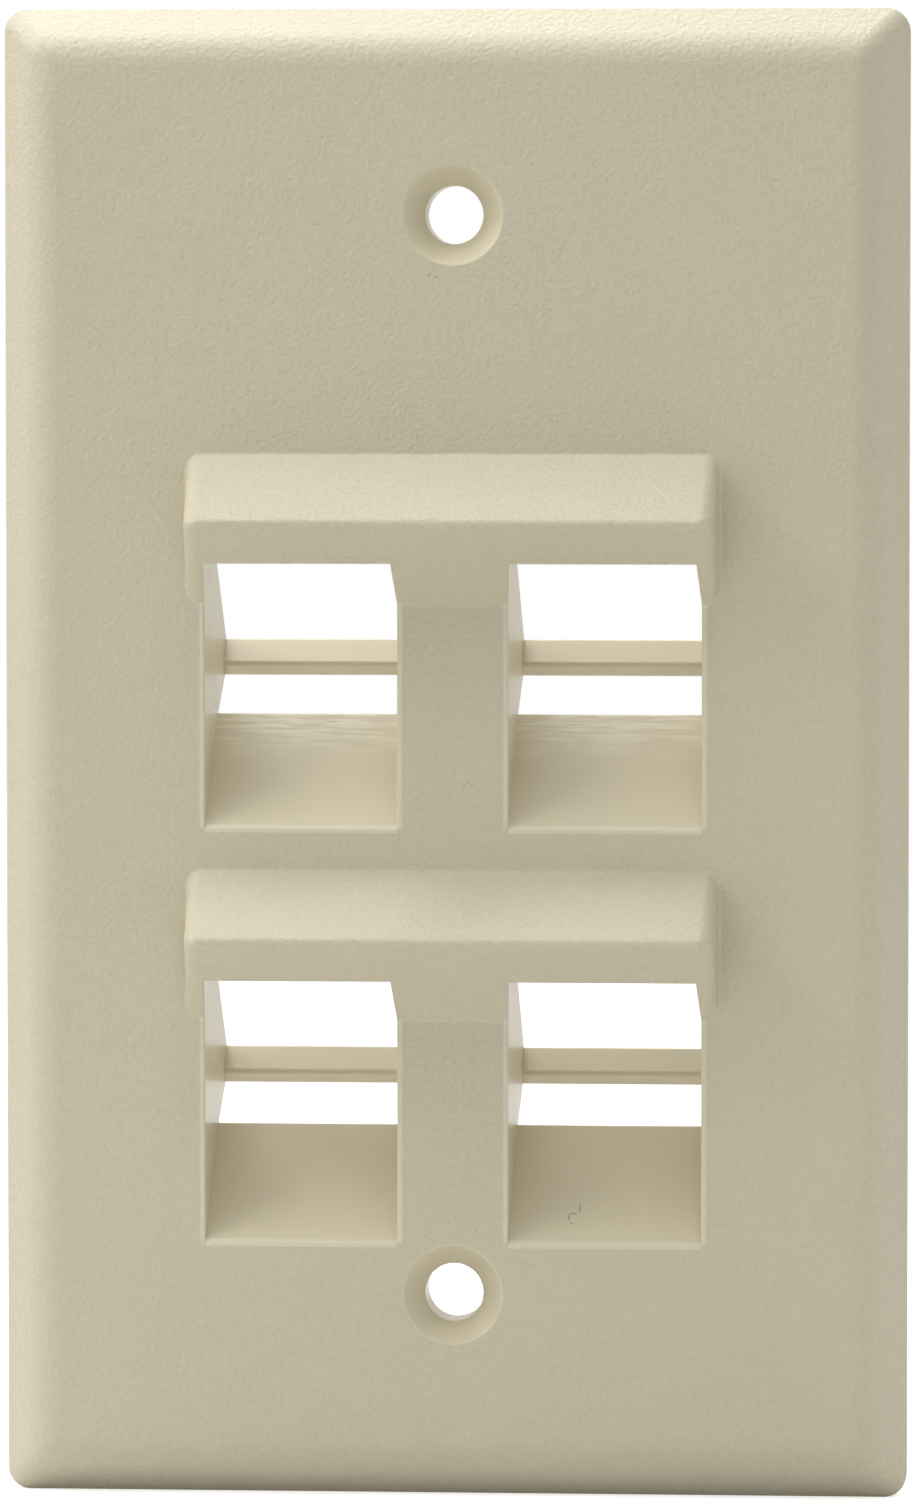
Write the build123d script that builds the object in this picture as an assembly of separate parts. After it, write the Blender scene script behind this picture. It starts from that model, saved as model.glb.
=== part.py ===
from build123d import *
import os
from math import cos, radians, sin, tan

# Angled keystone wall plate: one moulding with two hooded rows of ports.
# X runs to the right, Y into the wall and Z up. The origin is the centre of the
# two screw holes in the wall plane, so the plate's flat front faces -Y.
# All sizes are in millimetres and all angles in degrees.

# Plate
plate_width = 70.0
plate_height = 115.0
plate_depth = 5.6  # from the wall plane to the flat front
rim_height = 2.2  # upright part of the rim, next to the wall
bevel_angle = 50.0  # slope of the bevel against the flat front
front_blend = 3.26  # radius that turns the bevel into the flat front
corner_radius = 1.8
plate_wall = 2.0
cavity_corner = 0.8

# Screw holes
screw_spacing = 83.3
screw_hole = 4.5
countersink_width = 7.65
countersink_angle = 82.0
countersink_lip = 0.3
boss_wall = 2.5  # plastic round the screw hole behind the plate

# Rows of ports. A row's fold is where its hood's underside meets the flat front.
upper_fold = 11.6  # height of the upper row's fold above the origin
row_gap = 3.2  # from a port's sill to the top of the hood below
row_count = 2
port_pitch = 23.5
ports_per_row = 2

# Port, a straight opening that runs back and up into the wall
port_width = 14.9
port_height = 16.8  # from the port's floor to its ceiling, square to its axis
port_angle = 45.0  # of the port's axis above the level
port_climb = 4.6  # part of the port's height that lies in the hood
port_draft = 1.0  # sides closing in behind the flat front
brow_draft = 3.5  # sides closing in up the hood's underside
port_wall = 1.3
port_depth = 7.9  # from the port's face to its back edge
lip_depth = 4.0  # ceiling in front of the latch pocket
ramp_wall = 2.0
ramp_step = 0.3  # side wall left standing at the ramp's end
slot_length = 5.1  # from the ramp's end to the cross bar
bar_thickness = 1.5

# Hood
brow = 4.6  # hood's underside from the port's mouth to the ridge
hood_slope = 51.6  # of the hood's top against the flat front
hood_wall = 1.6
hood_draft = 2.0  # ends leaning in towards the ridge
ridge_radius = 0.6  # along the ridge
end_radius = 1.1  # round both ends

# Small roundings
mouth_radius = 0.18  # round the front edge of each port
edge_radius = 0.3  # on the bar and the ramp's end
root_radius = 0.3  # where a hood meets the flat front

# How deep joined solids reach into each other, and how far a cut runs past its solid
overlap = 0.5
tolerance = 0.001

tilt = radians(port_angle)
slope = radians(hood_slope)
front = -plate_depth
plate_back = front + plate_wall
floor = port_climb - port_height
ceiling = port_climb
ridge = port_climb + brow
ridge_reach = ridge * sin(tilt)
hood_rise = ridge * cos(tilt) + ridge_reach / tan(slope)
row_pitch = row_gap - floor / cos(tilt) + hood_rise
port_reach = port_depth * cos(tilt) + (bar_thickness - floor) * sin(tilt)
row_width = port_pitch * (ports_per_row - 1) + port_width + 2 * port_wall
row_folds = [upper_fold - row_pitch * row for row in range(row_count)]
port_centres = [port_pitch * (port - (ports_per_row - 1) / 2) for port in range(ports_per_row)]
web_centres = [(left + right) / 2 for left, right in zip(port_centres, port_centres[1:])]
screw_grid = GridLocations(0, screw_spacing, 1, 2)

# The land between a port and the hood's end limits the roundings on both its sides
end_drafts = sin(tilt) * (tan(radians(hood_draft)) + tan(radians(port_draft)))
end_face = port_wall - ceiling * max(0, end_drafts - tan(radians(brow_draft)))
end_round = min(end_radius, 0.85 * end_face)
mouth_round = min(mouth_radius, 0.9 * (end_face - end_round))


def side_point(fold, along, up):
    """Side view point, given along the port's axis and up the port's face from the fold."""
    y = front + along * cos(tilt) - up * sin(tilt)
    z = fold + along * sin(tilt) + up * cos(tilt)
    return y, z


def along_at(y, up):
    """Distance along the port's axis at which a height up its face reaches a depth y."""
    return (y - front + up * sin(tilt)) / cos(tilt)


def up_at(y, along):
    """Distance up the port's face at which a distance along its axis reaches a depth y."""
    return (along * cos(tilt) - y + front) / sin(tilt)


def side_prism(points, width, centre=0.0):
    """Solid of a side view outline of (y, z) points, drawn out along X about a centre."""
    outline = Plane.YZ.offset(centre) * Polygon(*points, align=None)
    return extrude(outline, width / 2, both=True)


def plan_prism(levels, centre=0.0):
    """Upright solid of a plan outline of (y, half width) levels, mirrored about a centre."""
    right = [(centre + half, y) for y, half in levels]
    left = [(centre - half, y) for y, half in reversed(levels)]
    outline = Plane.XY * Polygon(*right, *left, align=None)
    return extrude(outline, plate_height / 2, both=True)


def bevelled_bar(view, width, length, inset):
    """Bar with the plate's edge profile on both sides, evenly inset from the outer one.

    The view plane's X runs across the bar, and its Y forward from the wall plane.
    """
    angle = radians(bevel_angle)
    half = width / 2 - inset
    depth = plate_depth - inset
    side = rim_height - inset * tan((radians(90) - angle) / 2)
    radius = front_blend - inset
    knee_height = depth - radius * (1 - cos(angle))
    knee = half - (knee_height - side) / tan(angle)
    flat = knee - radius * sin(angle)
    right = [(half, 0), (half, side), (knee, knee_height)]
    left = [(-across, height) for across, height in reversed(right)]
    lines = Polyline(*left, *right)
    lines += RadiusArc((-knee, knee_height), (-flat, depth), radius)
    lines += Line((-flat, depth), (flat, depth))
    lines += RadiusArc((flat, depth), (knee, knee_height), radius)
    return extrude(view * make_face(lines), length / 2, both=True)


def is_mitre(edge):
    """True for an edge that stays as far from the plate's side as from its top or bottom."""
    for point in (edge @ 0, edge @ 0.5, edge @ 1):
        from_side = plate_width / 2 - abs(point.X)
        from_end = plate_height / 2 - abs(point.Z)
        if abs(from_side - from_end) > tolerance:
            return False
    return True


def bevelled_block(inset, corner):
    """The plate's outer form, or its cavity where there is an inset.

    Two crossed bars make the mitred corners. The upright corners are rounded, and then the mitres.
    """
    across = Plane(origin=(0, 0, 0), x_dir=(1, 0, 0), z_dir=(0, 0, -1))
    upright = Plane(origin=(0, 0, 0), x_dir=(0, 0, 1), z_dir=(1, 0, 0))
    block = bevelled_bar(across, plate_width, plate_height, inset)
    block &= bevelled_bar(upright, plate_height, plate_width, inset)
    outline = RectangleRounded(plate_width - 2 * inset, plate_height - 2 * inset, corner)
    block &= extrude(Plane.XZ * outline, plate_depth)
    mitres = [edge for edge in block.edges() if is_mitre(edge)]
    return fillet(mitres, corner)


def is_hood_end(edge):
    """True for an edge round an end face of a hood, in front of the flat front."""
    middle = edge.center()
    return middle.Y < front and abs(middle.X) > row_width / 2 - port_wall


def hood(fold):
    """Solid wedge over a row of ports, with leaning ends and rounded edges."""
    buried = front + overlap
    foot = side_point(fold, 0, up_at(buried, 0))
    crest = side_point(fold, 0, ridge)
    head = (buried, fold + hood_rise + overlap / tan(slope))
    lean = tan(radians(hood_draft))
    half = row_width / 2
    wedge = side_prism([foot, crest, head], row_width + 2 * overlap)
    wedge &= plan_prism([(buried, half + overlap * lean), (front - ridge_reach, half - ridge_reach * lean)])
    ridge_line = wedge.edges().filter_by(Axis.X).sort_by(Axis.Y)[0]
    wedge = fillet(ridge_line, ridge_radius)
    loops = [edge for edge in wedge.edges() if is_hood_end(edge)]
    return fillet(loops, end_round)


def slope_inside(fold, y):
    """Height of the inner face of the hood's sloping top at a depth y."""
    return fold + hood_rise - (front - y) / tan(slope) - hood_wall / sin(slope)


def slope_inside_at(along):
    """Distance up the port's face to the inner face of the hood's top, some way along the axis."""
    height = hood_rise - hood_wall / sin(slope) - along * (sin(tilt) - cos(tilt) / tan(slope))
    return height / (cos(tilt) + sin(tilt) / tan(slope))


def half_width(y):
    """Half of a port's width at a depth y. Its sides close in towards the wall."""
    return port_width / 2 - (y - front) * tan(radians(port_draft))


def housing(fold, centre):
    """Ramp, side walls and cross bar of a port as one block, before the port is cut."""
    buried = front + overlap
    underside = floor - ramp_wall
    corners = [
        (along_at(buried, underside), underside),
        (0, underside),
        (0, floor - ramp_step),
        (slot_length, floor - bar_thickness),
        (port_depth, floor - bar_thickness),
        (port_depth, up_at(buried, port_depth)),
    ]
    outline = [side_point(fold, along, up) for along, up in corners]
    rear = front + port_reach
    block = side_prism(outline, port_pitch, centre)
    return block & plan_prism([(y, half_width(y) + port_wall) for y in (rear, front)], centre)


def port(fold, centre):
    """All that is cut away for one port: its bore, the slot behind its ramp and its latch pocket."""
    mouth = along_at(front, floor) - overlap
    back = port_depth + overlap
    slot_floor = floor - ramp_wall - overlap
    bore = [(mouth, floor), (back, floor), (back, ceiling), (mouth, ceiling)]
    slot = [(0, floor), (0, slot_floor), (slot_length, slot_floor), (slot_length, floor)]
    pocket = [
        side_point(fold, lip_depth, ceiling),
        side_point(fold, lip_depth, slope_inside_at(lip_depth)),
        (plate_back, slope_inside(fold, plate_back)),
        side_point(fold, back, ceiling),
    ]
    cuts = side_prism([side_point(fold, along, up) for along, up in bore], port_pitch, centre)
    cuts += side_prism([side_point(fold, along, up) for along, up in slot], port_pitch, centre)
    cuts += side_prism(pocket, port_pitch, centre)
    rear = front + port_reach + overlap
    nose = front - ridge_reach
    cuts &= plan_prism([(y, half_width(y)) for y in (rear, nose)], centre)
    return cuts & brow_sides(fold, centre)


def brow_sides(fold, centre):
    """Prism along a port's axis whose sides close in up the hood's underside."""
    view = Plane(origin=(centre, front, fold), x_dir=(1, 0, 0), z_dir=(0, cos(tilt), sin(tilt)))
    lean = tan(radians(brow_draft))
    levels = [(half_width(front) - up * lean, -up) for up in (floor - port_height, ridge)]
    left = [(-half, height) for half, height in reversed(levels)]
    return extrude(view * Polygon(*levels, *left, align=None), 2 * port_depth, both=True)


def web_hollow(fold, centre):
    """Hollow of the hood between two neighbouring ports, open to the plate's cavity."""
    foot = side_point(fold, hood_wall, up_at(plate_back, hood_wall))
    crest = side_point(fold, hood_wall, slope_inside_at(hood_wall))
    head = (plate_back, slope_inside(fold, plate_back))
    behind = plate_back + overlap
    block = side_prism([crest, foot, (behind, foot[1]), (behind, head[1]), head], port_pitch, centre)
    nose = front - ridge_reach
    between = port_pitch / 2 - port_wall
    return block & plan_prism([(y, between - half_width(y)) for y in (behind, nose)], centre)


def on_root(edge):
    """True for an edge on the flat front where a hood rises from it."""
    points = (edge @ 0, edge @ 0.5, edge @ 1)
    flat = all(abs(point.Y - front) < tolerance for point in points)
    return flat and all(abs(point.X) < row_width / 2 + tolerance for point in points)


def port_place(point, fold):
    """A point's distances along a port's axis and up its face."""
    back = point.Y - front
    rise = point.Z - fold
    return back * cos(tilt) + rise * sin(tilt), rise * cos(tilt) - back * sin(tilt)


def on_mouth(edge, fold, centre):
    """True for an edge of the loop where a port opens through the flat front and the hood."""
    sill = along_at(front, floor)
    for point in (edge @ 0, edge @ 0.5, edge @ 1):
        along, up = port_place(point, fold)
        beside = abs(point.X - centre) < half_width(point.Y) + tolerance
        on_front = abs(point.Y - front) < root_radius and sill - tolerance < along and up < root_radius
        on_face = abs(along) < root_radius and -root_radius < up < ceiling + tolerance
        if not (beside and (on_front or on_face)):
            return False
    return True


def on_soft_line(edge, fold, centre):
    """True for an edge across a port at its ramp's end or on its cross bar."""
    bar_bottom = floor - bar_thickness
    soft_lines = [(0, floor), (slot_length, floor), (slot_length, bar_bottom), (port_depth, floor)]
    middle = edge.center()
    along, up = port_place(middle, fold)
    crosswise = abs((edge @ 0).X - (edge @ 1).X) > edge.length - tolerance
    here = any(abs(along - line[0]) + abs(up - line[1]) < tolerance for line in soft_lines)
    return crosswise and here and abs(middle.X - centre) < tolerance


def is_hole_rim(edge):
    """True for the round edge where a countersink meets the flat front."""
    on_front = abs(edge.center().Y - front) < tolerance
    return on_front and abs(edge.radius - countersink_width / 2) < tolerance


# The plate with its hoods, hollowed from behind
body = bevelled_block(0, corner_radius)
for fold in row_folds:
    body += hood(fold)
body = fillet([edge for edge in body.edges() if on_root(edge)], root_radius)
body -= bevelled_block(plate_wall, cavity_corner)

# Bosses behind the screw holes, level with the wall plane
boss_height = plate_depth - plate_wall + overlap
boss = Cylinder(screw_hole / 2 + boss_wall, boss_height, align=(Align.CENTER, Align.CENTER, Align.MIN))
body += Plane.XZ * screw_grid * boss

# Port housings, and then the ports through them
places = [(fold, centre) for fold in row_folds for centre in port_centres]
for fold, centre in places:
    body += housing(fold, centre)
for fold, centre in places:
    body -= port(fold, centre)
for fold in row_folds:
    for centre in web_centres:
        body -= web_hollow(fold, centre)

# Rounded mouths, ramp ends and cross bars
mouths = [edge for place in places for edge in body.edges() if on_mouth(edge, *place)]
body = fillet(mouths, mouth_round)
soft_edges = [edge for place in places for edge in body.edges() if on_soft_line(edge, *place)]
body = fillet(soft_edges, edge_radius)

# Countersunk screw holes
countersunk = CounterSinkHole(screw_hole / 2, countersink_width / 2, plate_depth, countersink_angle)
body -= Plane.XZ.offset(plate_depth) * screw_grid * countersunk
rims = [edge for edge in body.edges().filter_by(GeomType.CIRCLE) if is_hole_rim(edge)]
body = fillet(rims, countersink_lip)

os.makedirs("parts", exist_ok=True)
export_step(body, "parts/faceplate.step")
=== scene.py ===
"""An angled keystone wall plate, moulded in ivory plastic, with its finish, a studio and a camera.

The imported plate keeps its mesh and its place. Lengths are in metres and angles in degrees.
X runs to the right, Y into the wall and Z up, so the plate's front faces -Y.
"""
import logging
import math
from dataclasses import dataclass, field
from enum import Enum

import bpy
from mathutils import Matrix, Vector


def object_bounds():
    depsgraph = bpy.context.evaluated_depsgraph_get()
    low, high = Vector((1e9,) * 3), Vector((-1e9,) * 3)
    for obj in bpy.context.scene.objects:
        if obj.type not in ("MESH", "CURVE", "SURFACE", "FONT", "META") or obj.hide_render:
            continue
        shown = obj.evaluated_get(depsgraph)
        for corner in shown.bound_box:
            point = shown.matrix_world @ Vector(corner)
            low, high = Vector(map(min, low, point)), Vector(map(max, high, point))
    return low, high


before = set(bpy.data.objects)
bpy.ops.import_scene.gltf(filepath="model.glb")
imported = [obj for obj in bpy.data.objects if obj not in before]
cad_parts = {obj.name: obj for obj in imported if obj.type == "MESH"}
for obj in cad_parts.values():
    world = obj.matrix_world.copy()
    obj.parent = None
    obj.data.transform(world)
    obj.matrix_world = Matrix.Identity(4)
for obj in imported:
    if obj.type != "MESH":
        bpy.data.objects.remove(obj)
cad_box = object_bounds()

log = logging.getLogger("wall_plate")
Place = tuple[float, float, float]
Colour = tuple[float, float, float]
Socket = bpy.types.NodeSocket
Value = float | tuple[float, ...] | Socket
MM = 0.001


class Zone(Enum):
    """Parts of the plate that differ from its grained front."""

    PORT = "Port"
    # Upper ramps' tops, where a highlight is painted and the flow marks are bumped.
    CREST = "Crest"
    # Front edges of the ports' sides and sills, where a highlight is painted.
    RIM = "Rim"
    SINK = "Sink"
    HIDDEN = "Hidden"
    SHOWN = "Shown"


class NodeSheet:
    """A node tree with short ways to add nodes and wire them."""

    def __init__(self, tree: bpy.types.NodeTree) -> None:
        """Keep the tree that the nodes go into.

        Args:
            tree: Node tree of a material, a world or a group.
        """
        self.tree = tree

    def add(self, kind: str, settings: dict[str, object] | None = None, **inputs: Value) -> bpy.types.Node:
        """Add a node.

        Args:
            kind: Blender's name of the node type.
            settings: Properties of the node itself.
            inputs: Input sockets by name, with underscores for spaces. A value is a number,
                a tuple or an output socket to wire in.

        Returns:
            The new node.
        """
        node = self.tree.nodes.new(kind)
        for name, value in (settings or {}).items():
            setattr(node, name, value)
        for name, value in inputs.items():
            self.plug(node.inputs[name.replace("_", " ")], value)
        return node

    def plug(self, socket: Socket, value: Value) -> None:
        """Wire an output socket into an input socket, or set the input's plain value."""
        if isinstance(value, Socket):
            self.tree.links.new(value, socket)
        else:
            socket.default_value = value

    def sum(self, operation: str, *values: Value) -> Socket:
        """Work out a scalar.

        Args:
            operation: Blender's name of the Math operation.
            values: Up to three numbers or output sockets.

        Returns:
            The result's socket.
        """
        node = self.tree.nodes.new("ShaderNodeMath")
        node.operation = operation
        for socket, value in zip(node.inputs, values):
            self.plug(socket, value)
        return node.outputs[0]

    def all_of(self, *masks: Socket) -> Socket:
        """Multiply masks, so that the result is 1 only where all of them are."""
        result = masks[0]
        for mask in masks[1:]:
            result = self.sum("MULTIPLY", result, mask)
        return result

    def any_of(self, *masks: Socket) -> Socket:
        """Take the highest of several masks."""
        result = masks[0]
        for mask in masks[1:]:
            result = self.sum("MAXIMUM", result, mask)
        return result

    def ramp(self, value: Socket, low: float, high: float) -> Socket:
        """Turn a value into a mask.

        Args:
            value: Socket with the value.
            low: Value at which the mask is 0. It may be above high.
            high: Value at which the mask is 1.

        Returns:
            Socket of the mask, smooth between its ends.
        """
        node = self.tree.nodes.new("ShaderNodeMapRange")
        node.interpolation_type = "SMOOTHSTEP"
        for name, plain in (("From Min", low), ("From Max", high), ("To Min", 0.0), ("To Max", 1.0)):
            node.inputs[name].default_value = plain
        self.plug(node.inputs["Value"], value)
        return node.outputs["Result"]

    def mix(self, factor: Socket, first: Value, second: Value) -> Socket:
        """Mix two colours, the second one showing where the factor is 1."""
        node = self.tree.nodes.new("ShaderNodeMix")
        node.data_type = "RGBA"
        self.plug(node.inputs["Factor"], factor)
        for name, value in (("A", first), ("B", second)):
            socket = [found for found in node.inputs if found.name == name and found.type == "RGBA"][0]
            self.plug(socket, (*value, 1.0) if isinstance(value, tuple) else value)
        return [found for found in node.outputs if found.type == "RGBA"][0]


@dataclass(frozen=True)
class Axes:
    """The three coordinates of a place as sockets."""

    x: Socket
    y: Socket
    z: Socket

    @classmethod
    def of(cls, sheet: NodeSheet, place: Socket) -> "Axes":
        """Split a place's vector into its coordinates."""
        return cls(*sheet.add("ShaderNodeSeparateXYZ", Vector=place).outputs)


class Effect:
    """A shader node group that several materials or surfaces use."""

    name = "effect"
    outputs: tuple[str, ...] = ()

    def group(self) -> bpy.types.NodeTree:
        """Return the node group, built the first time."""
        found = bpy.data.node_groups.get(self.name)
        if found:
            return found
        tree = bpy.data.node_groups.new(self.name, "ShaderNodeTree")
        tree.interface.new_socket("Place", in_out="INPUT", socket_type="NodeSocketVector")
        for name in self.outputs:
            tree.interface.new_socket(name, in_out="OUTPUT", socket_type="NodeSocketFloat")
        sheet = NodeSheet(tree)
        source = sheet.add("NodeGroupInput")
        target = sheet.add("NodeGroupOutput")
        self.fill(sheet, source, target)
        return tree

    def fill(self, sheet: NodeSheet, source: bpy.types.Node, target: bpy.types.Node) -> None:
        """Add the group's nodes between its inputs and outputs."""
        raise NotImplementedError

    def use(self, sheet: NodeSheet, place: Socket) -> list[Socket]:
        """Place the group in a material.

        Args:
            sheet: The material's nodes.
            place: Object coordinates.

        Returns:
            The group's outputs, in their order.
        """
        return list(sheet.add("ShaderNodeGroup", {"node_tree": self.group()}, Place=place).outputs)


@dataclass(frozen=True)
class PlateZones(Effect):
    """Masks of the plate's zones, found by place.

    Attributes:
        front: Depth of the flat front in front of the wall plane.
        back: Depth of the cavity's floor.
        half_width: Half of the cavity's width.
        half_height: Half of the cavity's height.
        folds: Heights at which the hoods' undersides meet the flat front.
        port_climb: Part of a port's height that lies in its hood.
        ramp_foot: Height of a ramp's foot against the fold.
        crest_foot: Height at which a ramp's upper part begins, against the fold.
        ramp_top: Height of a ramp's top against the fold.
        port_offset: Distance of a port's centre from the plate's centre line.
        port_half: Half of a port's width.
        rim: Width of the painted highlight along a port's front edges.
        ramp_depth: How far behind the flat front the lower half of a ramp reaches.
        tilt: Angle of the ports' axes above the level.
        screw_height: Distance of a screw hole from the plate's centre.
        sink_radius: Outer radius of a countersink.
        soft: Width over which a mask fades.
    """

    front: float = 5.6 * MM
    back: float = 3.6 * MM
    half_width: float = 33.0 * MM
    half_height: float = 55.5 * MM
    folds: tuple[float, ...] = (11.6 * MM, -20.5 * MM)
    port_climb: float = 4.65 * MM
    ramp_foot: float = -17.35 * MM
    crest_foot: float = -13.0 * MM
    ramp_top: float = -8.6 * MM
    port_offset: float = 11.75 * MM
    port_half: float = 7.5 * MM
    rim: float = 0.34 * MM
    ramp_depth: float = 3.7 * MM
    tilt: float = 45.0
    screw_height: float = 41.65 * MM
    sink_radius: float = 3.85 * MM
    soft: float = 0.12 * MM

    name = "plate_zones"
    outputs = tuple(zone.value for zone in Zone)

    def off_centre(self, sheet: NodeSheet, place: Axes) -> Socket:
        """Measure how far a place lies beside the nearest port's centre."""
        across = sheet.sum("SUBTRACT", sheet.sum("ABSOLUTE", place.x), self.port_offset)
        return sheet.sum("ABSOLUTE", across)

    def rim_highlights(self, sheet: NodeSheet, place: Axes) -> Socket:
        """Mask the front edges of the ports' sides and sills, where a highlight is painted.

        Args:
            sheet: Nodes of the group.
            place: Sockets of the three coordinates.

        Returns:
            Socket of the mask.
        """
        off_centre = self.off_centre(sheet, place)
        outside = self.port_half + self.rim
        side = sheet.all_of(
            sheet.ramp(off_centre, outside + self.soft, outside - self.soft),
            sheet.ramp(off_centre, self.port_half - self.soft, self.port_half),
        )
        within = sheet.ramp(off_centre, self.port_half, self.port_half - self.soft)
        rim_highlights = []
        for fold in self.folds:
            rise = sheet.sum("SUBTRACT", place.z, fold)
            above_foot = sheet.ramp(rise, self.ramp_foot, self.ramp_foot + self.rim)
            below_fold = sheet.ramp(rise, self.rim, 0.0)
            rim_highlights.append(sheet.all_of(side, above_foot, below_fold))
            climb = sheet.sum("SUBTRACT", rise, self.ramp_foot)
            below_lip = sheet.ramp(climb, self.rim + self.soft, self.rim)
            above_sill = sheet.ramp(climb, -2 * self.soft, -self.soft)
            rim_highlights.append(sheet.all_of(within, below_lip, above_sill))
        near_front = sheet.ramp(place.y, -self.front + 2 * self.rim, -self.front + self.rim)
        return sheet.all_of(near_front, sheet.any_of(*rim_highlights))

    def port(self, sheet: NodeSheet, place: Axes) -> Socket:
        """Mask the inside of every port.

        Args:
            sheet: Nodes of the group.
            place: Sockets of the three coordinates.

        Returns:
            Socket of the mask.
        """
        beside = sheet.ramp(self.off_centre(sheet, place), self.port_half + self.soft, self.port_half)
        behind = sheet.sum("ADD", place.y, self.front)
        behind_front = sheet.ramp(behind, 0.0, self.soft)
        cosine, sine = math.cos(math.radians(self.tilt)), math.sin(math.radians(self.tilt))
        rows = []
        for fold in self.folds:
            rise = sheet.sum("SUBTRACT", place.z, fold)
            along = sheet.sum("MULTIPLY_ADD", behind, cosine, sheet.sum("MULTIPLY", rise, sine))
            up = sheet.sum("MULTIPLY_ADD", behind, -sine, sheet.sum("MULTIPLY", rise, cosine))
            inside = sheet.any_of(behind_front, sheet.ramp(along, 0.0, self.soft))
            below_hood = sheet.ramp(up, self.port_climb + self.soft, self.port_climb)
            above_foot = sheet.ramp(rise, self.ramp_foot - self.soft, self.ramp_foot)
            rows.append(sheet.all_of(inside, below_hood, above_foot))
        return sheet.all_of(beside, sheet.any_of(*rows))

    def crest(self, sheet: NodeSheet, place: Axes) -> Socket:
        """Mask the upper parts of the upper row's ramps, growing to their tops."""
        # This mask places the painted highlight on the upper ramps' tops, and the flow marks' bump.
        rise = sheet.sum("SUBTRACT", place.z, max(self.folds))
        growing = sheet.ramp(rise, self.crest_foot, self.ramp_top)
        below_top = sheet.ramp(rise, self.ramp_top + 2 * self.soft, self.ramp_top + self.soft)
        return sheet.all_of(growing, below_top)

    def hidden(self, sheet: NodeSheet, place: Axes) -> Socket:
        """Mask the cavity behind the plate, and all that lies in the wall."""
        cavity = sheet.ramp(place.y, -self.back - self.soft, -self.back)
        for across, half in ((place.x, self.half_width), (place.z, self.half_height)):
            inside = sheet.ramp(sheet.sum("ABSOLUTE", across), half + self.soft, half)
            cavity = sheet.all_of(cavity, inside)
        return sheet.any_of(cavity, sheet.ramp(place.y, -self.soft, 0.0))

    def sink(self, sheet: NodeSheet, place: Axes) -> Socket:
        """Mask the countersinks and the screw holes."""
        rise = sheet.sum("SUBTRACT", sheet.sum("ABSOLUTE", place.z), self.screw_height)
        square = sheet.sum("MULTIPLY_ADD", place.x, place.x, sheet.sum("MULTIPLY", rise, rise))
        return sheet.ramp(sheet.sum("SQRT", square), self.sink_radius + self.soft, self.sink_radius)

    def fill(self, sheet: NodeSheet, source: bpy.types.Node, target: bpy.types.Node) -> None:
        """Add the masks of all zones."""
        place = Axes.of(sheet, source.outputs["Place"])
        port = self.port(sheet, place)
        hidden = self.hidden(sheet, place)
        depth = self.ramp_depth - self.front
        on_ramp = sheet.all_of(port, sheet.ramp(place.y, depth + self.soft, depth))
        masks = {
            Zone.PORT: port,
            Zone.CREST: sheet.all_of(port, self.crest(sheet, place)),
            Zone.RIM: self.rim_highlights(sheet, place),
            Zone.SINK: self.sink(sheet, place),
            Zone.HIDDEN: hidden,
            Zone.SHOWN: sheet.any_of(sheet.sum("SUBTRACT", 1.0, hidden), on_ramp),
        }
        for zone, mask in masks.items():
            sheet.plug(target.inputs[zone.value], mask)


@dataclass(frozen=True)
class MouldGrain(Effect):
    """The leathery grain that a textured mould leaves, and the faint waves of a large flat moulding.

    Attributes:
        grain: Distance between the grain's lobes.
        wave: Distance between the waves.
    """

    grain: float = 0.37 * MM
    wave: float = 9.0 * MM

    name = "mould_grain"
    outputs = ("Lobes", "Wave")

    def fill(self, sheet: NodeSheet, source: bpy.types.Node, target: bpy.types.Node) -> None:
        """Add the lobes and the waves."""
        for output, pitch, detail in (("Lobes", self.grain, 1.0), ("Wave", self.wave, 2.0)):
            noise = sheet.add("ShaderNodeTexNoise", Scale=1 / pitch, Detail=detail)
            sheet.plug(noise.inputs["Vector"], source.outputs["Place"])
            sheet.plug(target.inputs[output], noise.outputs[0])


@dataclass(frozen=True)
class FlowMarks(Effect):
    """Fine ripples that the plastic froze in across the tops of the upper ramps.

    Attributes:
        pitch: Distance between ripples down the ramp.
        spread: How much longer a ripple is than it is wide.
    """

    pitch: float = 0.45 * MM
    spread: float = 8.0

    name = "flow_marks"
    outputs = ("Ripples",)

    def fill(self, sheet: NodeSheet, source: bpy.types.Node, target: bpy.types.Node) -> None:
        """Add the ripples."""
        place = source.outputs["Place"]
        stretched = sheet.add("ShaderNodeMapping", Vector=place, Scale=(1 / self.spread, 1.0, 1.0))
        ripples = sheet.add("ShaderNodeTexNoise", Scale=1 / self.pitch, Detail=1.0)
        sheet.plug(ripples.inputs["Vector"], stretched.outputs[0])
        sheet.plug(target.inputs["Ripples"], ripples.outputs[0])


@dataclass(frozen=True)
class Mark:
    """A short stroke of a small scuff or of a hair on the front.

    Attributes:
        x: How far right of the centre it lies.
        z: How far above the centre it lies.
        width: Its width.
        height: Its height.
        depth: How dark it is, from 0 to 1.
    """

    x: float
    z: float
    width: float
    height: float
    depth: float


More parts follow.
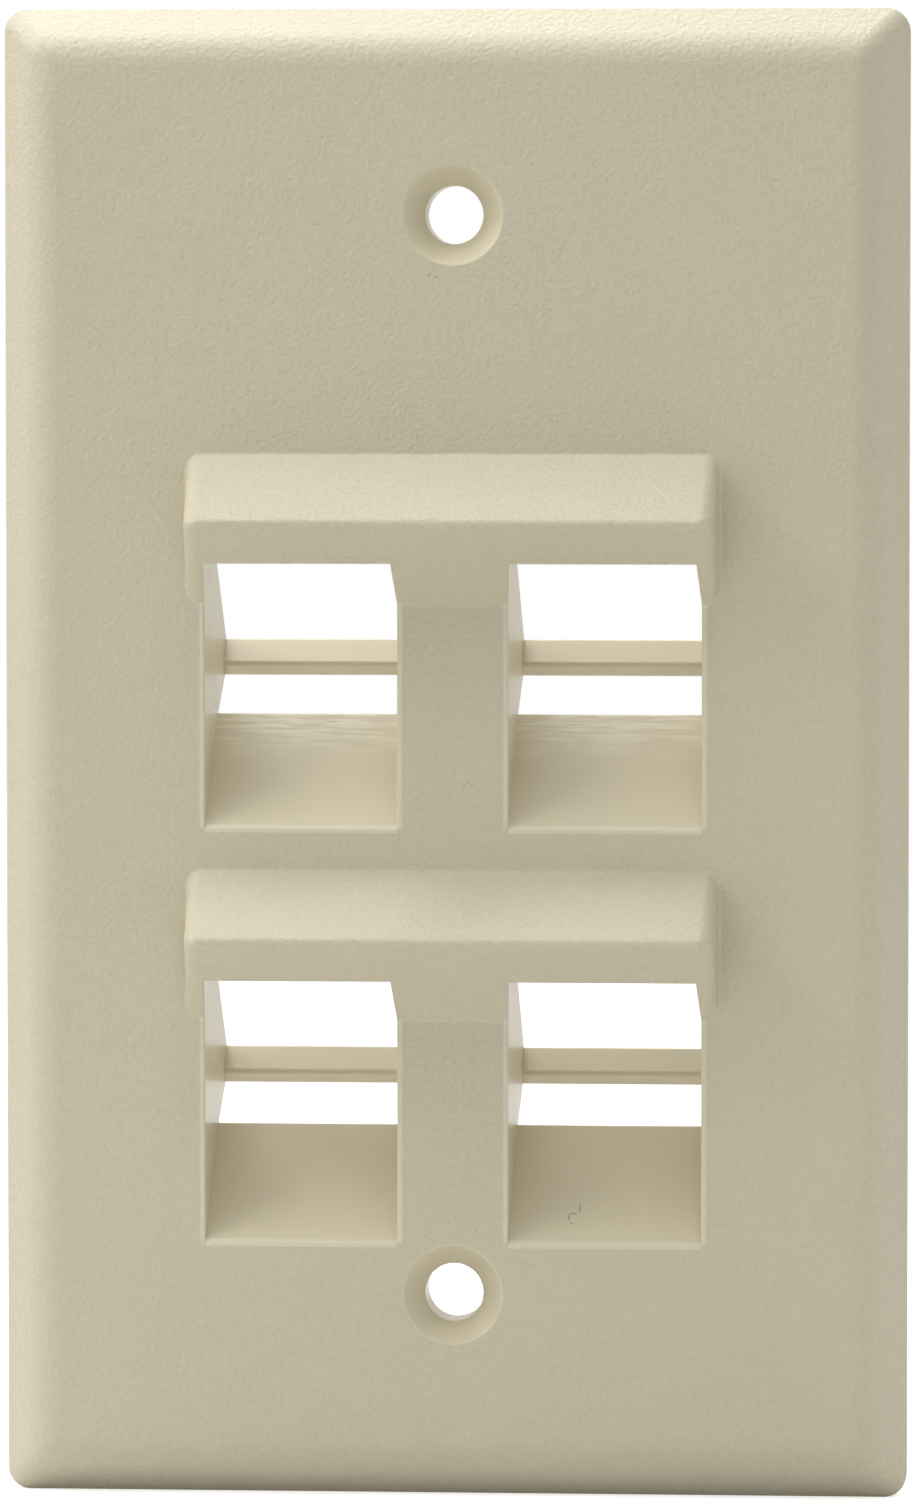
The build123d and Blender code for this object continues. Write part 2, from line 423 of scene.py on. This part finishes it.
@dataclass(frozen=True)
class FrontMarks(Effect):
    """Small scuffs over and under the hoods, and a hair on the lower right ramp.

    Attributes:
        marks: Strokes of the marks.
    """

    marks: tuple[Mark, ...] = (
        Mark(0.89 * MM, -2.25 * MM, 0.08 * MM, 0.22 * MM, 0.8),
        Mark(1.16 * MM, -1.98 * MM, 0.22 * MM, 0.09 * MM, 0.8),
        Mark(1.51 * MM, -2.17 * MM, 0.28 * MM, 0.08 * MM, 0.7),
        Mark(-1.80 * MM, 37.05 * MM, 0.24 * MM, 0.09 * MM, 0.8),
        Mark(-1.30 * MM, 36.89 * MM, 0.22 * MM, 0.09 * MM, 0.9),
        Mark(-2.32 * MM, 36.78 * MM, 0.07 * MM, 0.16 * MM, 0.5),
        Mark(-3.17 * MM, 36.61 * MM, 0.12 * MM, 0.08 * MM, 0.4),
        Mark(-2.90 * MM, 36.11 * MM, 0.14 * MM, 0.07 * MM, 0.6),
        Mark(1.80 * MM, -36.65 * MM, 0.15 * MM, 0.14 * MM, 0.8),
        Mark(1.90 * MM, -36.30 * MM, 0.06 * MM, 0.18 * MM, 0.4),
        Mark(9.68 * MM, -35.14 * MM, 0.11 * MM, 0.42 * MM, 1.0),
        Mark(9.25 * MM, -35.53 * MM, 0.40 * MM, 0.11 * MM, 1.0),
        Mark(8.87 * MM, -35.80 * MM, 0.12 * MM, 0.32 * MM, 1.0),
        Mark(9.11 * MM, -36.22 * MM, 0.22 * MM, 0.11 * MM, 0.9),
    )

    name = "front_marks"
    outputs = ("Marks",)

    def fill(self, sheet: NodeSheet, source: bpy.types.Node, target: bpy.types.Node) -> None:
        """Add each stroke as a soft oval."""
        place = Axes.of(sheet, source.outputs["Place"])
        ovals = []
        for mark in self.marks:
            across = sheet.sum("DIVIDE", sheet.sum("SUBTRACT", place.x, mark.x), mark.width)
            rise = sheet.sum("DIVIDE", sheet.sum("SUBTRACT", place.z, mark.z), mark.height)
            square = sheet.sum("MULTIPLY_ADD", across, across, sheet.sum("MULTIPLY", rise, rise))
            ovals.append(sheet.sum("MULTIPLY", sheet.ramp(square, 1.0, 0.0), mark.depth))
        sheet.plug(target.inputs["Marks"], sheet.any_of(*ovals))


@dataclass(frozen=True)
class IvoryPlastic:
    """Ivory moulding plastic, grained where it shows and smooth in the ports, the sinks and behind.

    Attributes:
        colour: Plain colour of the plastic.
        shade: Colour that the slight unevenness leans to.
        inner_painted_light: Lighter colour in the ports and the sinks, painted light that brightens their
            insides.
        crest: Paler colour of the upper ramps' tops, a painted highlight of light from behind.
        rim_highlight: Paler colour painted along the ports' front edges as a highlight.
        scuffed: Colour of a scuff.
        grained: Roughness of the grained front.
        smooth: Roughness of the smooth zones.
        wave_gloss: How much the waves change the roughness.
        lobe_tone: How much the grain's lobes change the colour between shade and plain.
        wave_tone: How much the waves change it.
        highlight_streak_blur: Half the spread over which the painted highlight turns from dull to pale
            across a flow mark.
        highlight_streak_share: Share of the painted highlight on the ramps' tops that comes and goes with
            the flow marks.
        grain_depth: Bump distance of the grain.
        ripple: Bump of the flow marks as a share of the grain's.
        refraction: Index of refraction of the plastic.
    """

    colour: Colour = (0.560, 0.512, 0.380)
    shade: Colour = (0.530, 0.482, 0.352)
    inner_painted_light: Colour = (0.600, 0.545, 0.392)
    crest: Colour = (0.760, 0.710, 0.560)
    rim_highlight: Colour = (0.650, 0.598, 0.445)
    scuffed: Colour = (0.360, 0.328, 0.240)
    grained: float = 0.48
    smooth: float = 0.34
    wave_gloss: float = 0.08
    lobe_tone: float = 2.6
    wave_tone: float = 0.8
    highlight_streak_blur: float = 0.10
    highlight_streak_share: float = 0.7
    grain_depth: float = 0.078 * MM
    ripple: float = 0.40
    refraction: float = 1.47

    def tint(
        self, sheet: NodeSheet, masks: dict[Zone, Socket], lobes: Socket, wave: Socket, ripples: Socket
    ) -> Socket:
        """Work out the colour from place to place: the plastic's own colour, with painted light in the
        ports and the sinks and painted highlights on the upper ramps' tops and the ports' front edges.

        Args:
            sheet: The material's nodes.
            masks: Socket of each zone's mask.
            lobes: Socket of the grain's lobes, about 0.
            wave: Socket of the waves, about 0.
            ripples: Socket of the flow marks, from 0 to 1.

        Returns:
            Socket of the colour.
        """
        uneven = sheet.sum("MULTIPLY_ADD", lobes, self.lobe_tone, 0.5)
        uneven = sheet.sum("MULTIPLY_ADD", wave, self.wave_tone, uneven)
        colour = sheet.mix(uneven, self.shade, self.colour)
        # Painted light: the ports and the sinks are coloured lighter, to brighten their insides.
        inner_painted_light = sheet.any_of(masks[Zone.PORT], masks[Zone.SINK])
        colour = sheet.mix(inner_painted_light, colour, self.inner_painted_light)
        # Painted highlight: the upper ramps' tops turn paler, in streaks that follow the flow marks.
        highlight_streaks = sheet.ramp(ripples, 0.5 - self.highlight_streak_blur, 0.5 + self.highlight_streak_blur)
        highlight_streaks = sheet.sum("MULTIPLY_ADD", highlight_streaks, self.highlight_streak_share, 1.0 - self.highlight_streak_share)
        colour = sheet.mix(sheet.all_of(masks[Zone.CREST], highlight_streaks), colour, self.crest)
        # Painted highlight: the front edges of the ports' sides and sills are coloured paler.
        return sheet.mix(masks[Zone.RIM], colour, self.rim_highlight)

    def build(self, name: str) -> bpy.types.Material:
        """Make the material.

        Args:
            name: Name of the material.

        Returns:
            The new material.
        """
        material = bpy.data.materials.new(name)
        material.use_nodes = True
        material.node_tree.nodes.clear()
        sheet = NodeSheet(material.node_tree)
        place = sheet.add("ShaderNodeTexCoord").outputs["Object"]
        masks = dict(zip(Zone, PlateZones().use(sheet, place)))
        lobes, wave = (sheet.sum("SUBTRACT", noise, 0.5) for noise in MouldGrain().use(sheet, place))
        ripples = FlowMarks().use(sheet, place)[0]
        marks = FrontMarks().use(sheet, place)[0]
        smooth = sheet.any_of(masks[Zone.PORT], masks[Zone.SINK], masks[Zone.HIDDEN])
        grained = sheet.sum("SUBTRACT", 1.0, smooth)
        lobes = sheet.all_of(lobes, grained)
        colour = self.tint(sheet, masks, lobes, wave, ripples)
        colour = sheet.mix(sheet.all_of(marks, masks[Zone.SHOWN]), colour, self.scuffed)
        rough = sheet.sum("MULTIPLY_ADD", grained, self.grained - self.smooth, self.smooth)
        rough = sheet.sum("MULTIPLY_ADD", wave, self.wave_gloss, rough)
        flow = sheet.all_of(ripples, masks[Zone.CREST])
        height = sheet.sum("MULTIPLY_ADD", flow, self.ripple, lobes)
        bump = sheet.add("ShaderNodeBump", Height=height, Distance=self.grain_depth)
        surface = sheet.add("ShaderNodeBsdfPrincipled", Base_Color=colour, Roughness=rough)
        sheet.plug(surface.inputs["IOR"], self.refraction)
        sheet.plug(surface.inputs["Normal"], bump.outputs[0])
        sheet.add("ShaderNodeOutputMaterial", Surface=surface.outputs[0])
        return material


@dataclass
class Faceplate:
    """The moulded plate, which is one piece.

    Attributes:
        node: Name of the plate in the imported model.
        finish: Plastic that it is moulded in.
    """

    node: str = "faceplate"
    finish: IvoryPlastic = field(default_factory=IvoryPlastic)

    def dress(self) -> bpy.types.Object:
        """Give the plate its plastic.

        Returns:
            The plate's object.
        """
        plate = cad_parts[self.node]
        plate.data.materials.clear()
        plate.data.materials.append(self.finish.build("ivory_plastic"))
        return plate


@dataclass(frozen=True)
class Lamp:
    """A soft rectangular lamp.

    Attributes:
        name: Name of the lamp.
        place: Centre of the lamp.
        size: Width and height of the lamp.
        level: Light on a white card that faces the lamp at the plate's centre, where 1 is white.
        target: Point that the lamp faces.
        colour: Colour of its light.
    """

    name: str
    place: Place
    size: tuple[float, float]
    level: float
    target: Place = (0.0, 0.0, 0.0)
    colour: Colour = (1.0, 1.0, 1.0)

    def build(self) -> bpy.types.Object:
        """Hang the lamp and return it."""
        data = bpy.data.lights.new(self.name, "AREA")
        data.shape = "RECTANGLE"
        data.size, data.size_y = self.size
        reach = Vector(self.target) - Vector(self.place)
        data.energy = self.level * math.pi ** 2 * reach.length_squared
        data.color = self.colour
        lamp = bpy.data.objects.new(self.name, data)
        lamp.location = self.place
        lamp.rotation_euler = reach.to_track_quat("-Z", "Y").to_euler()
        bpy.context.scene.collection.objects.link(lamp)
        return lamp


@dataclass
class Studio:
    """A pale floor, soft lamps and a white surround.

    Attributes:
        front_light: Light that comes from all over the front, where 1 is white.
        back_light: Light that comes from all over the back.
        floor_size: Side of the square floor.
        floor_colour: Colour of the floor.
        floor_lift: Light added to the floor for the camera and for reflections, so that it reads as white.
        turn: How far to each side of the plate's plane the front's light turns into the back's.
        lamps: The lamps.
    """

    front_light: float = 0.59
    back_light: float = 0.30
    floor_size: float = 6.0
    floor_colour: Colour = (0.80, 0.80, 0.80)
    floor_lift: float = 0.64
    turn: float = 0.15
    lamps: tuple[Lamp, ...] = (
        Lamp("top_back_lamp", (-0.04, 0.20, 0.26), (0.40, 0.20), 0.70),
        Lamp("top_lamp", (-0.04, 0.03, 0.30), (0.34, 0.12), 0.30),
        Lamp("top_front_lamp", (-0.04, -0.04, 0.32), (0.34, 0.06), 0.36),
        Lamp("left_lamp", (-0.35, -0.08, 0.30), (0.30, 0.20), 0.50),
        Lamp("right_lamp", (0.38, 0.02, 0.06), (0.25, 0.30), 0.10),
    )

    def build_world(self) -> None:
        """Make the surround, which the camera and reflections see as white."""
        world = bpy.data.worlds.new("surround")
        world.use_nodes = True
        world.node_tree.nodes.clear()
        sheet = NodeSheet(world.node_tree)
        path = sheet.add("ShaderNodeLightPath")
        rays = ("Camera", "Transmission", "Glossy")
        seen = sheet.any_of(*(path.outputs[f"Is {ray} Ray"] for ray in rays))
        way = Axes.of(sheet, sheet.add("ShaderNodeTexCoord").outputs["Generated"])
        behind = sheet.ramp(way.y, -self.turn, self.turn)
        light = sheet.sum("MULTIPLY_ADD", behind, self.back_light - self.front_light, self.front_light)
        strength = sheet.sum("MULTIPLY_ADD", seen, sheet.sum("SUBTRACT", 1.0, light), light)
        sky = sheet.add("ShaderNodeBackground", Color=(1.0, 1.0, 1.0, 1.0), Strength=strength)
        sheet.add("ShaderNodeOutputWorld", Surface=sky.outputs[0])
        bpy.context.scene.world = world

    def build_floor(self, height: float) -> bpy.types.Object:
        """Lay the floor.

        Args:
            height: Height of the floor.

        Returns:
            The floor's object.
        """
        bpy.ops.object.select_all(action="DESELECT")
        bpy.ops.mesh.primitive_plane_add(size=self.floor_size, location=(0.0, 0.0, height))
        floor = bpy.context.object
        floor.name = "floor"
        bpy.ops.object.transform_apply(location=True, rotation=True, scale=True)
        material = bpy.data.materials.new("pale_floor")
        material.use_nodes = True
        material.node_tree.nodes.clear()
        sheet = NodeSheet(material.node_tree)
        path = sheet.add("ShaderNodeLightPath")
        matt = sheet.add("ShaderNodeBsdfDiffuse", Color=(*self.floor_colour, 1.0))
        seen = sheet.any_of(path.outputs["Is Camera Ray"], path.outputs["Is Glossy Ray"])
        strength = sheet.sum("MULTIPLY", seen, self.floor_lift)
        lift = sheet.add("ShaderNodeEmission", Color=(1.0, 1.0, 1.0, 1.0), Strength=strength)
        both = sheet.add("ShaderNodeAddShader")
        sheet.plug(both.inputs[0], matt.outputs[0])
        sheet.plug(both.inputs[1], lift.outputs[0])
        sheet.add("ShaderNodeOutputMaterial", Surface=both.outputs[0])
        floor.data.materials.append(material)
        return floor

    def build(self, height: float) -> None:
        """Make the floor, the lamps and the surround.

        Args:
            height: Height of the floor.
        """
        self.build_world()
        self.build_floor(height)
        for lamp in self.lamps:
            lamp.build()
            log.info("lamp %s at %s", lamp.name, lamp.place)


@dataclass(frozen=True)
class PlateCamera:
    """The camera, a little to the right of the plate and above it.

    Attributes:
        place: Where the camera stands.
        target: Point at the middle of its picture.
        lens: Focal length in millimetres.
        film: Long side of the picture behind the lens, in millimetres.
        reach: Nearest and farthest distance that the camera sees.
    """

    place: Place = (52.3 * MM, -695.0 * MM, 37.5 * MM)
    target: Place = (0.34 * MM, -5.6 * MM, 0.5 * MM)
    lens: float = 215.7
    film: float = 36.0
    reach: tuple[float, float] = (0.01, 20.0)

    def build(self) -> bpy.types.Object:
        """Make the camera, and return it as the scene's own."""
        data = bpy.data.cameras.new("plate_camera")
        data.lens = self.lens
        data.sensor_width = self.film
        data.clip_start, data.clip_end = self.reach
        camera = bpy.data.objects.new("plate_camera", data)
        camera.location = self.place
        sight = Vector(self.target) - Vector(self.place)
        camera.rotation_euler = sight.to_track_quat("-Z", "Y").to_euler()
        bpy.context.scene.collection.objects.link(camera)
        bpy.context.scene.camera = camera
        return camera


def main() -> None:
    """Dress the plate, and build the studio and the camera."""
    logging.basicConfig(level=logging.INFO, format="%(name)s: %(message)s")
    plate = Faceplate().dress()
    log.info("%s has %d facets", plate.name, len(plate.data.polygons))
    Studio().build(cad_box[0].z)
    camera = PlateCamera().build()
    log.info("camera at %s", tuple(camera.location))
    bpy.context.scene.view_settings.view_transform = "Standard"


if __name__ == "__main__":
    main()
